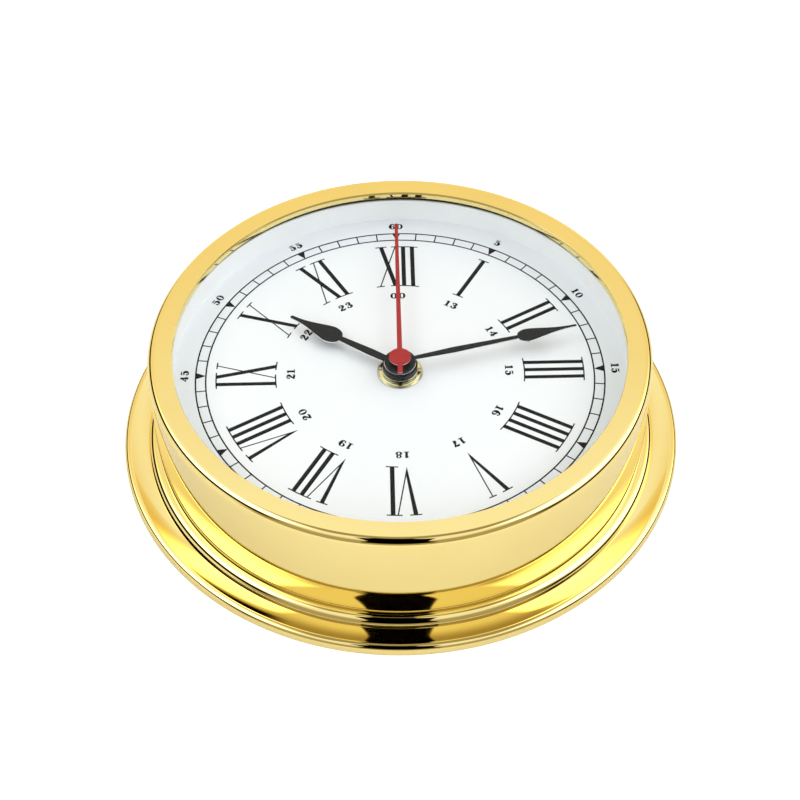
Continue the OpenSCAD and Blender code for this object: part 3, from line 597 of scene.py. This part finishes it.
def hour_hand():
    """The short hand with a wide belly."""
    halves = (1.25, 1.4, 0.98, 3.25, 0.6)
    pear_hand("hour", 39.5, 0.54, 0.638, halves, blade_lift=1.2, boss=(5.4, 2.45, 0.2))


def minute_hand():
    """The long hand with a slim belly."""
    halves = (0.73, 1.18, 0.68, 2.55, 0.4)
    pear_hand("minute", 55.6, 0.665, 0.723, halves, blade_lift=0.75, boss=(4.8, 1.25, 0.24))


def second_hand():
    """The red sweep hand: a thin tapering blade just under the top of a dimpled boss on its pin."""
    length = 58.5
    tail = 6.8
    tail_half = 0.75
    hub_half = 0.78
    tip_half = 0.52
    sheet = 0.3
    blade_top = SECOND_TOP - 0.16
    mats = [MAT["red"], MAT["red_edge"]]
    right = [(tail_half, -tail), (hub_half, 0.0), (tip_half, length)]
    outline = [(-tail_half, -tail)] + right + [(-tip_half, length), (-hub_half, 0.0)]
    blade_low = blade_top - sheet
    blade = prism("second_blade", outline, blade_low, blade_top, mats, "seconds", bevel=0.05)
    pin = 0.9
    pin_low = low("second_hand", Z)
    boss = 3.3
    boss_low = SECOND_TOP - 0.8
    pale = 0.28
    ease = 0.25
    shoulder = SECOND_TOP - 0.02
    dimple = ((1.5, 0.02), (1.2, 0.07), (0.6, 0.12), (0.0, 0.13))
    profile = [(0.0, pin_low), (pin, pin_low), (pin, boss_low), (boss, boss_low), (boss, boss_low + pale)]
    profile += arc(boss - ease, shoulder - ease, ease, 0, 90, 6)
    profile += [(r, SECOND_TOP - drop) for r, drop in dimple]
    rows = [1] * 4 + [0] * (len(profile) - 4)
    hub = lathe("second_hub", profile, mats, "seconds", turns=128, rows=rows)
    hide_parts("second_hand")
    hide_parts("second_hand")


def hand_turn(which):
    """Clock angle of a hand, from the farthest point of its CAD node."""
    mesh = NODES[which + "_hand"].data
    far = max(mesh.vertices, key=lambda v: v.co.x**2 + v.co.y**2).co
    return math.degrees(math.atan2(far.x, far.y))


def centre_nut():
    """The round slotted nut on the movement's sleeve."""
    bore = 4.0
    slots = 4
    slot_half = 0.6
    depth = (NUT_TOP - NUT_LOW) / 2
    ease = 0.28
    turns = 240
    steps = turns // slots
    sector = 2 * math.pi / slots
    edge = math.asin(slot_half / NUT_R)
    angles = []
    for q in range(slots):
        mid = q * sector
        angles += [(mid - edge, False), (mid - edge, True), (mid + edge, True), (mid + edge, False)]
        angles += [(mid + edge + (sector - 2 * edge) * i / steps, False) for i in range(1, steps)]
    verts = []
    for a, cut in angles:
        top = NUT_TOP - (depth if cut else 0)
        ring = [(bore, NUT_LOW), (NUT_R, NUT_LOW)]
        ring += arc(NUT_R - ease, top - ease, ease, 0, 90, 6)
        ring += [(bore, top)]
        verts += [(r * math.cos(a), r * math.sin(a), z) for r, z in ring]
    count = len(ring)
    faces = []
    for i in range(len(angles)):
        j = (i + 1) % len(angles)
        for k in range(count):
            m = (k + 1) % count
            faces.append((i * count + k, j * count + k, j * count + m, i * count + m))
    piece = make_object("sleeve_nut", verts, faces, [MAT["nut"]], "case", 30)
    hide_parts("centre_nut")


# ======================= printing on the dial =======================

WEIGHT = 1.45
INK_SPREAD = 0.015


def stroke(points, steps=6):
    """The outline of a pen stroke through (x, y, width) points, smoothed when there are more than two."""
    path = smooth(points, steps) if len(points) > 2 else [Vector(p) for p in points]
    left = []
    right = []
    for i, p in enumerate(path):
        a = path[max(0, i - 1)]
        b = path[min(len(path) - 1, i + 1)]
        d = Vector((b.x - a.x, b.y - a.y)).normalized()
        n = Vector((-d.y, d.x)) * (p.z * WEIGHT + INK_SPREAD) / 2
        left.append((p.x + n.x, p.y + n.y))
        right.append((p.x - n.x, p.y - n.y))
    return right + left[::-1]


def smooth(points, steps):
    """Catmull-Rom points through (x, y, width)."""
    pts = [Vector(p) for p in points]
    pts = [2 * pts[0] - pts[1]] + pts + [2 * pts[-1] - pts[-2]]
    out = []
    for i in range(1, len(pts) - 2):
        p0, p1, p2, p3 = pts[i - 1 : i + 3]
        for s in range(steps):
            t = s / steps
            square = 2 * p0 - 5 * p1 + 4 * p2 - p3
            cube = 3 * p1 - p0 - 3 * p2 + p3
            out.append(0.5 * (2 * p1 + (p2 - p0) * t + square * t**2 + cube * t**3))
    out.append(pts[-2])
    return out


def ball(x, y, r, steps=14):
    """The round end of a stroke."""
    turns = [2 * math.pi * i / steps for i in range(steps)]
    return [(x + r * math.cos(a), y + r * math.sin(a)) for a in turns]


def oval_ring(cx, cy, outer, inner, sectors=28):
    """An upright ring, thick at the sides, as small quads."""

    def at(size, i):
        a = 2 * math.pi * i / sectors
        return cx + size[0] * math.cos(a), cy + size[1] * math.sin(a)

    return [[at(outer, i), at(outer, i + 1), at(inner, i + 1), at(inner, i)] for i in range(sectors)]


def bar(x0, x1, y0, y1):
    """An upright rectangle."""
    return [(x0, y0), (x1, y0), (x1, y1), (x0, y1)]


# each digit is 1 high and stands on 0; a stroke point is (x, y, width)
SIX = [
    stroke([(0.24, 0.88, 0.07), (0.08, 0.965, 0.09), (-0.14, 0.87, 0.17), (-0.27, 0.5, 0.26),
            (-0.18, 0.14, 0.18)]),
    ball(0.22, 0.8, 0.115),
] + oval_ring(0.02, 0.29, (0.38, 0.31), (0.105, 0.205))
DIGITS = {
    "0": oval_ring(0, 0.5, (0.43, 0.52), (0.135, 0.415)),
    "1": [
        bar(-0.155, 0.155, 0, 0.99),
        bar(-0.33, 0.33, 0, 0.10),
        [(-0.12, 0.99), (-0.28, 0.84), (-0.28, 0.75), (-0.12, 0.80)],
    ],
    "2": [
        ball(-0.21, 0.70, 0.13),
        stroke([(-0.32, 0.76, 0.06), (-0.18, 0.93, 0.08), (0.03, 0.95, 0.11), (0.22, 0.77, 0.25),
                (0.12, 0.55, 0.19), (-0.1, 0.34, 0.12), (-0.32, 0.1, 0.1)]),
        stroke([(-0.36, 0.06, 0.11), (-0.14, 0.12, 0.17), (0.12, 0.08, 0.19), (0.31, 0.10, 0.10),
                (0.36, 0.27, 0.05)]),
    ],
    "3": [
        ball(-0.2, 0.77, 0.12),
        stroke([(-0.29, 0.84, 0.06), (-0.1, 0.965, 0.08), (0.12, 0.92, 0.15), (0.21, 0.76, 0.24),
                (0.1, 0.59, 0.13), (-0.1, 0.53, 0.06)]),
        stroke([(-0.1, 0.53, 0.06), (0.14, 0.47, 0.14), (0.25, 0.27, 0.26), (0.14, 0.08, 0.15),
                (-0.08, 0.03, 0.08), (-0.31, 0.15, 0.07)]),
        ball(-0.23, 0.22, 0.13),
    ],
    "4": [
        bar(-0.01, 0.29, 0.0, 1.0),
        stroke([(0.2, 0.97, 0.1), (-0.38, 0.31, 0.09)]),
        bar(-0.43, 0.43, 0.235, 0.355),
        bar(-0.1, 0.38, 0.0, 0.07),
    ],
    "5": [
        [(-0.26, 0.99), (-0.26, 0.84), (-0.1, 0.8), (0.12, 0.8), (0.27, 0.9), (0.33, 1.0), (0.1, 0.95)],
        bar(-0.26, -0.2, 0.48, 0.95),
        stroke([(-0.24, 0.5, 0.05), (-0.04, 0.61, 0.1), (0.16, 0.55, 0.2), (0.25, 0.32, 0.27),
                (0.14, 0.1, 0.16), (-0.06, 0.03, 0.08), (-0.31, 0.13, 0.07)]),
        ball(-0.22, 0.2, 0.13),
    ],
    "6": SIX,
    "7": [
        stroke([(-0.34, 0.84, 0.13), (-0.15, 0.91, 0.19), (0.1, 0.87, 0.17), (0.34, 0.95, 0.08)]),
        bar(-0.37, -0.31, 0.68, 0.98),
        stroke([(0.31, 0.93, 0.09), (0.12, 0.62, 0.15), (0.0, 0.32, 0.24), (-0.03, 0.01, 0.27)]),
    ],
    "8": oval_ring(0, 0.745, (0.33, 0.27), (0.10, 0.165))
    + oval_ring(0, 0.27, (0.39, 0.29), (0.115, 0.175)),
    "9": [[(-x, 1 - y) for x, y in part] for part in SIX],
}
HALF_WIDTH = {"1": 0.3, "0": 0.42, "4": 0.42}
USUAL_HALF = 0.385


def numeral_parts(text, size, gap=0.19):
    """Outlines of a plain number, centred, its foot at 0."""
    parts = []
    widths = [HALF_WIDTH.get(c, USUAL_HALF) for c in text]
    total = 2 * sum(widths) + gap * (len(text) - 1)
    at = -total / 2
    for c, half in zip(text, widths):
        at += half
        parts += [[((x + at) * size, y * size) for x, y in part] for part in DIGITS[c]]
        at += half + gap
    return parts


ROMAN_LOW = 37.2
ROMAN_HIGH = 55.4
THICK = 1.32
THIN = 0.38
HAIR = 0.40
# how far a serif reaches to the left and right of its stroke
STEM_SERIF = (1.8, 1.8)
V_SERIFS = ((1.75, 1.7), (1.25, 1.15))
X_OUTER_SERIFS = ((1.8, 1.8), (1.3, 1.3))
X_INNER_SERIFS = ((1.5, 1.9), (1.25, 1.3))
# each numeral: I stems by their place, then V and X as (thick outer, thick inner, thin outer, thin inner)
ROMANS = [
    {"x": (-5.0, -0.6, -0.5, -5.3), "i": (2.06, 4.9)},
    {"i": (0.0,)},
    {"i": (-1.48, 1.48)},
    {"i": (-3.0, 0.0, 3.0)},
    {"i": (-4.45, -1.5, 1.5, 4.45)},
    {"v": (-2.4, 0.0, 2.6)},
    {"v": (-3.4, -1.1, 1.6), "i": (3.05,)},
    {"v": (-5.0, -2.7, -0.3), "i": (1.55, 4.35)},
    {"v": (-6.5, -4.25, -1.7), "i": (0.25, 3.2, 6.15)},
    {"i": (-3.6,), "x": (-0.6, 3.4, 4.1, -1.3)},
    {"x": (-2.3, 1.9, 2.9, -2.6)},
    {"x": (-3.5, 0.6, 1.2, -4.15), "i": (3.35,)},
]


def serif(x0, x1, r, side):
    """A hairline that follows the circle of radius r, as a strip."""
    step = 0.8
    steps = max(2, int(abs(x1 - x0) / step))
    top = []
    base = []
    for i in range(steps + 1):
        x = x0 + (x1 - x0) * i / steps
        y = math.sqrt(r * r - x * x)
        top.append((x, y))
        base.append((x, y - side * HAIR))
    return (base + top[::-1]) if side > 0 else (top + base[::-1])


def slanted(x_out, x_in, width):
    """A straight stroke from the outer to the inner line, width measured across."""
    lean = (x_out - x_in) / (ROMAN_HIGH - ROMAN_LOW)
    half = width / 2 * math.sqrt(1 + lean * lean)
    y_out = math.sqrt(ROMAN_HIGH**2 - x_out**2) - HAIR / 2
    y_in = math.sqrt(ROMAN_LOW**2 - x_in**2) + HAIR / 2
    return [(x_in - half, y_in), (x_in + half, y_in), (x_out + half, y_out), (x_out - half, y_out)]


def pointed(thick, foot, thin):
    """The two strokes of a V, which meet in a blunt point."""
    y0 = ROMAN_LOW + 0.1
    y1 = ROMAN_HIGH - 0.4
    corner = (foot - 0.05, y0)
    crotch = (foot + 0.28, y0 + 2.6)
    heel = (foot - 0.1, y0 + 2.0)
    return [
        [corner, crotch, (thick + THICK / 2, y1), (thick - THICK / 2, y1)],
        [corner, (thin + THIN / 2, y1), (thin - THIN / 2, y1), heel],
    ]


def reach(first, last, serif_size):
    """The span of a serif that runs over the strokes from first to last."""
    return [first - serif_size[0], last + serif_size[1]]


def roman_parts(spec):
    """The outlines of one Roman numeral, upright at 12 o'clock."""
    stems = spec.get("i", ())
    parts = [slanted(x, x, THICK) for x in stems]
    outer = []
    inner = []
    if stems:
        outer.append(reach(stems[0], stems[-1], STEM_SERIF))
        inner.append(reach(stems[0], stems[-1], STEM_SERIF))
    if "v" in spec:
        thick, foot, thin = spec["v"]
        parts += pointed(thick, foot, thin)
        outer += [reach(x, x, size) for x, size in zip((thick, thin), V_SERIFS)]
    if "x" in spec:
        thick_out, thick_in, thin_out, thin_in = spec["x"]
        parts.append(slanted(thick_out, thick_in, THICK))
        parts.append(slanted(thin_out, thin_in, THIN))
        outer += [reach(x, x, size) for x, size in zip((thick_out, thin_out), X_OUTER_SERIFS)]
        inner += [reach(x, x, size) for x, size in zip((thick_in, thin_in), X_INNER_SERIFS)]
    parts += [serif(a, b, ROMAN_HIGH, 1) for a, b in joined(outer)]
    parts += [serif(a, b, ROMAN_LOW, -1) for a, b in joined(inner)]
    return parts


def joined(spans, gap=0.35):
    """Spans that overlap or nearly touch become one."""
    out = []
    for a, b in sorted(spans):
        if out and a <= out[-1][1] + gap:
            out[-1][1] = max(out[-1][1], b)
        else:
            out.append([a, b])
    return out


def anticlockwise(part):
    """The outline, turned round if it runs clockwise."""
    area = sum(p[0] * q[1] - q[0] * p[1] for p, q in zip(part, part[1:] + part[:1]))
    return part if area > 0 else part[::-1]


def printed(name, groups):
    """Ink: the union of many outlines, each group turned to its clock angle, as thin closed solids."""
    sunk = FACE_Z - 0.006
    proud = FACE_Z + 0.02
    merge = 1e-5
    verts = []
    faces = []
    for angle, parts in groups:
        coords = []
        loops = []
        for part in parts:
            part = anticlockwise(part)
            loops.append(list(range(len(coords), len(coords) + len(part))))
            coords += [Vector(p) for p in part]
        flat, _, tris, _, _, owners = delaunay_2d_cdt(coords, [], loops, 0, merge)
        tris = [tri for tri, owner in zip(tris, owners) if owner]
        base = len(verts)
        count = len(flat)
        places = [clockwise(p.x, p.y, angle) for p in flat]
        verts += [(x, y, sunk) for x, y in places] + [(x, y, proud) for x, y in places]
        edges = {}
        for tri in tris:
            tri = list(tri)
            faces.append(tuple(base + i for i in reversed(tri)))
            faces.append(tuple(base + count + i for i in tri))
            edges.update({edge: True for edge in zip(tri, tri[1:] + tri[:1])})
        for p, q in edges:
            if (q, p) not in edges:
                faces.append((base + p, base + q, base + count + q, base + count + p))
    make_object(name, verts, faces, [MAT["ink"]], "case")


def raised(parts, height):
    """Outlines moved up from the centre."""
    return [[(x, y + height) for x, y in part] for part in parts]


def track_parts(fifth):
    """One minute of the track: a stretch of both lines, and a tick or, each fifth minute, a wedge."""
    line = 0.46
    tick_half = 0.2
    wedge_half = 1.3
    steps = 3
    turns = [math.radians(-3 + 6 * i / steps) for i in range(steps + 1)]
    parts = []
    for r in (TRACK_IN, TRACK_OUT):
        low_line = [((r - line / 2) * math.sin(a), (r - line / 2) * math.cos(a)) for a in turns]
        top_line = [((r + line / 2) * math.sin(a), (r + line / 2) * math.cos(a)) for a in turns]
        parts.append(low_line + top_line[::-1])
    if fifth:
        parts.append([(-wedge_half, TRACK_OUT), (0.0, TRACK_IN), (wedge_half, TRACK_OUT)])
    else:
        parts.append(bar(-tick_half, tick_half, TRACK_IN, TRACK_OUT))
    return parts


def dial_printing():
    """Roman hours, afternoon hours, the minute track and its numbers."""
    minute_size = 2.4
    minute_r = 63.55
    later_size = 2.45
    later_gap = 0.22
    later_r = 31.6
    printed("hour_numerals", [(30 * h, roman_parts(spec)) for h, spec in enumerate(ROMANS)])
    minutes = []
    later = []
    for h in range(12):
        minute_text = str(h * 5 or 60)
        later_text = str(h + 12) if h else "00"
        minutes.append((30 * h, raised(numeral_parts(minute_text, minute_size), minute_r)))
        later.append((30 * h, raised(numeral_parts(later_text, later_size, later_gap), later_r)))
    printed("minute_numerals", minutes)
    printed("afternoon_numerals", later)
    printed("minute_track", [(6 * m, track_parts(m % 5 == 0)) for m in range(60)])


# ======================= stage, light and camera =======================


def floor():
    """A plain pale table. Straight from the camera it looks as white as the wall behind."""
    half = 3.0
    z = -0.00005
    mesh = bpy.data.meshes.new("studio_floor")
    corners = [(-half, -half, z), (half, -half, z), (half, half, z), (-half, half, z)]
    mesh.from_pydata(corners, [], [(0, 1, 2, 3)])
    obj = bpy.data.objects.new("studio_floor", mesh)
    bpy.context.scene.collection.objects.link(obj)
    material, n = new_material("pale_floor")
    tint = n.mix(n.cloud(n.place(), 3, 2, seed=14.0), (0.76, 0.755, 0.75, 1), (0.74, 0.735, 0.73, 1))
    path = n.add("ShaderNodeLightPath")
    glow = n.mix(path.outputs["Is Camera Ray"], (1.0, 1.0, 1.0, 1), (6.4, 6.4, 6.5, 1))
    shader = finish_material(n, tint, 0.9, Emission_Strength=0.08)
    n.link(glow, shader.inputs["Emission Color"])
    mesh.materials.append(material)


class Studio(Nodes):
    """The studio as light by direction. turn is degrees from the 6 o'clock side, lift is degrees up."""

    def __init__(self, tree):
        super().__init__(tree)
        split = self.add("ShaderNodeSeparateXYZ")
        self.link(self.add("ShaderNodeTexCoord").outputs["Generated"], split.inputs[0])
        to_degrees = 180 / math.pi
        self.across = split.outputs["X"]
        self.forward = self.math("MULTIPLY", split.outputs["Y"], -1.0)
        self.turn = self.math("MULTIPLY", self.math("ARCTAN2", self.across, self.forward), to_degrees)
        self.lift = self.math("MULTIPLY", self.math("ARCSINE", split.outputs["Z"]), to_degrees)
        self.away = self.math("ABSOLUTE", self.turn)

    def share(self, current, level, *factors):
        """current, replaced by level as far as every factor is 1."""
        factor = factors[0]
        for other in factors[1:]:
            factor = self.math("MULTIPLY", factor, other)
        return self.math("ADD", current, self.math("MULTIPLY", factor, self.math("SUBTRACT", level, current)))

    def line(self, side, start, value, slope):
        """A height that changes evenly with the angle past start."""
        return self.math("ADD", self.math("MULTIPLY", self.math("SUBTRACT", side, start), slope), value)

    def above(self, edge, soft):
        """1 over a height, 0 under it."""
        return self.ramp(self.math("SUBTRACT", self.lift, edge), -soft, soft)

    def near(self, middle, half, soft):
        """1 within half of a height, 0 beyond."""
        apart = self.math("ABSOLUTE", self.math("SUBTRACT", self.lift, middle))
        return self.ramp(apart, half - soft, half + soft, 1.0, 0.0)

    def room(self):
        """Dim low down in front, plain behind, darker overhead."""
        low_front = self.ramp(self.lift, 34.0, 57.0, 0.46, 1.08)
        front = self.math("MULTIPLY", low_front, self.ramp(self.lift, 76.0, 86.0, 1.0, 0.5))
        low_back = self.ramp(self.lift, 44.0, 55.0, 1.03, 1.12)
        behind = self.math("ADD", low_back, self.ramp(self.lift, 58.0, 71.0, 0.0, -0.72))
        return self.share(front, behind, self.ramp(self.away, 54.0, 72.0))

    def soft_boxes(self, light):
        """A soft box on the right and one on the left, each with a sloping lower edge."""
        level = 3.3
        for sign, low_edge, slope, top_edge, near_side, fade in (
            (1.0, 42.0, -0.50, 63.0, 57.0, (92.0, 142.0)),
            (-1.0, 48.0, -0.27, 66.0, 61.0, (106.0, 140.0)),
        ):
            side = self.math("MULTIPLY", self.turn, sign)
            under = self.above(self.line(side, 60.0, low_edge, slope), 2.5)
            over = self.ramp(self.lift, top_edge - 6.0, top_edge + 12.0, 1.0, 0.0)
            first = self.ramp(side, near_side - 4.0, near_side + 4.0)
            light = self.share(light, level, under, over, first, self.ramp(side, *fade, 1.0, 0.0))
        return light

    def gap(self, light, side, middle, half, end):
        """A dark band between a soft box and the table."""
        starts = self.ramp(side, 46.0, 60.0)
        return self.share(light, 0.0, self.near(middle, half, 3.0), starts, self.ramp(side, *end, 1.0, 0.0))

    def gaps(self, light):
        """The gap on the left sags like a bow, the one on the right slopes down to a last height."""
        left = self.math("MULTIPLY", self.turn, -1.0)
        bow = self.math("POWER", self.math("DIVIDE", self.math("SUBTRACT", left, 60.0), 80.0), 2.0)
        middle = self.math("ADD", self.math("MULTIPLY", bow, -24.0), 30.0)
        light = self.gap(light, left, middle, 10.0, (144.0, 156.0))
        middle = self.math("MAXIMUM", self.line(self.turn, 54.0, 19.0, -0.34), 6.0)
        return self.gap(light, self.turn, middle, 9.5, (142.0, 154.0))

    def boom(self, light):
        """The dark camera and its boom, straight ahead and overhead."""
        centre = -0.029
        soft = 0.007
        across = self.math("ABSOLUTE", self.math("SUBTRACT", self.across, centre))
        narrowing = self.ramp(self.lift, 66.0, 84.0, 0.0, 0.10)
        half = self.math("SUBTRACT", self.ramp(self.lift, 20.0, 46.0, 0.234, 0.166), narrowing)
        inside = self.ramp(self.math("SUBTRACT", across, half), -soft, soft, 1.0, 0.0)
        starts = self.ramp(self.lift, 15.0, 23.0)
        return self.share(light, 0.0, inside, self.ramp(self.forward, 0.0, 0.05), starts)

    def tone(self, light):
        """Dim light is amber, and the low back is a warm wall."""
        colour = self.mix(self.ramp(light, 0.0, 1.0, smooth=False), (1.0, 0.78, 0.38, 1), (1.0, 1.0, 1.0, 1))
        behind = self.ramp(self.away, 112.0, 135.0)
        low_back = self.math("MULTIPLY", behind, self.ramp(self.lift, 41.0, 52.0, 1.0, 0.0))
        return self.mix(low_back, colour, (1.0, 0.86, 0.58, 1))


def studio_world():
    """Soft studio light for the clock. Straight from the camera it looks plain white."""
    world = bpy.data.worlds.new("studio")
    bpy.context.scene.world = world
    world.use_nodes = True
    n = Studio(world.node_tree)
    light = n.boom(n.gaps(n.soft_boxes(n.room())))
    seen = n.add("ShaderNodeLightPath").outputs["Is Camera Ray"]
    back = n.add("ShaderNodeBackground")
    n.link(n.mix(seen, n.tone(light), (1, 1, 1, 1)), back.inputs["Color"])
    n.link(n.share(light, 1.15, seen), back.inputs["Strength"])
    out = n.add("ShaderNodeOutputWorld")
    n.link(back.outputs[0], out.inputs["Surface"])


def panel(name, place, size, energy):
    """A wide panel aimed at the clock, which lights matte surfaces and is left out of mirror images."""
    data = bpy.data.lights.new(name, "AREA")
    data.shape = "DISK"
    data.size = size
    data.energy = energy
    data.color = (0.86, 0.93, 1.0)
    obj = bpy.data.objects.new(name, data)
    bpy.context.scene.collection.objects.link(obj)
    obj.location = place
    obj.rotation_euler = (obj.location * -1).to_track_quat("-Z", "Y").to_euler()
    obj.visible_glossy = False
    obj.visible_camera = False


def panels():
    """One panel above and behind the dial, one low in front for the ring that faces the viewer."""
    panel("top_panel", (-0.12, 0.35, 0.9), size=0.5, energy=0.1)
    panel("front_panel", (0.0, -0.8, 0.5), size=0.6, energy=3.7)


def turned(axes, angle, axis):
    """Camera axes turned by an angle in degrees about one of them."""
    turn = Matrix.Rotation(math.radians(angle), 3, axes[axis])
    return [turn @ v for v in axes]


def camera():
    """The viewing angle of the photograph: 46.7 degrees up and a little left of the 6 o'clock side."""
    distance = 565.497
    lift = math.radians(46.69801)
    side = math.radians(-0.73383)
    pan = 0.01003
    tilt = -0.84594
    roll = -0.60163
    lens = 84.67134
    back = Vector((math.sin(side) * math.cos(lift), -math.cos(side) * math.cos(lift), math.sin(lift)))
    right = Vector((math.cos(side), math.sin(side), 0))
    axes = [right, back.cross(right), back]
    for angle, axis in ((pan, 1), (tilt, 0), (roll, 2)):
        axes = turned(axes, angle, axis)
    data = bpy.data.cameras.new("photo_camera")
    data.sensor_width = 36.0
    data.lens = lens
    data.clip_start = 0.01
    data.clip_end = 50.0
    obj = bpy.data.objects.new("photo_camera", data)
    bpy.context.scene.collection.objects.link(obj)
    place = (back * distance + Vector((0, 0, FACE_Z))) * MM
    obj.matrix_world = Matrix.Translation(place) @ Matrix(axes).transposed().to_4x4()
    bpy.context.scene.camera = obj


def colour_management():
    """Colours as they are lit, with no film look."""
    bpy.context.scene.view_settings.view_transform = "Standard"
    bpy.context.scene.view_settings.look = "None"


dress_nodes()
case_piece()
bezel_piece()
rehaut_piece()
hour_hand()
minute_hand()
second_hand()
centre_nut()
dial_printing()
floor()
studio_world()
panels()
camera()
colour_management()
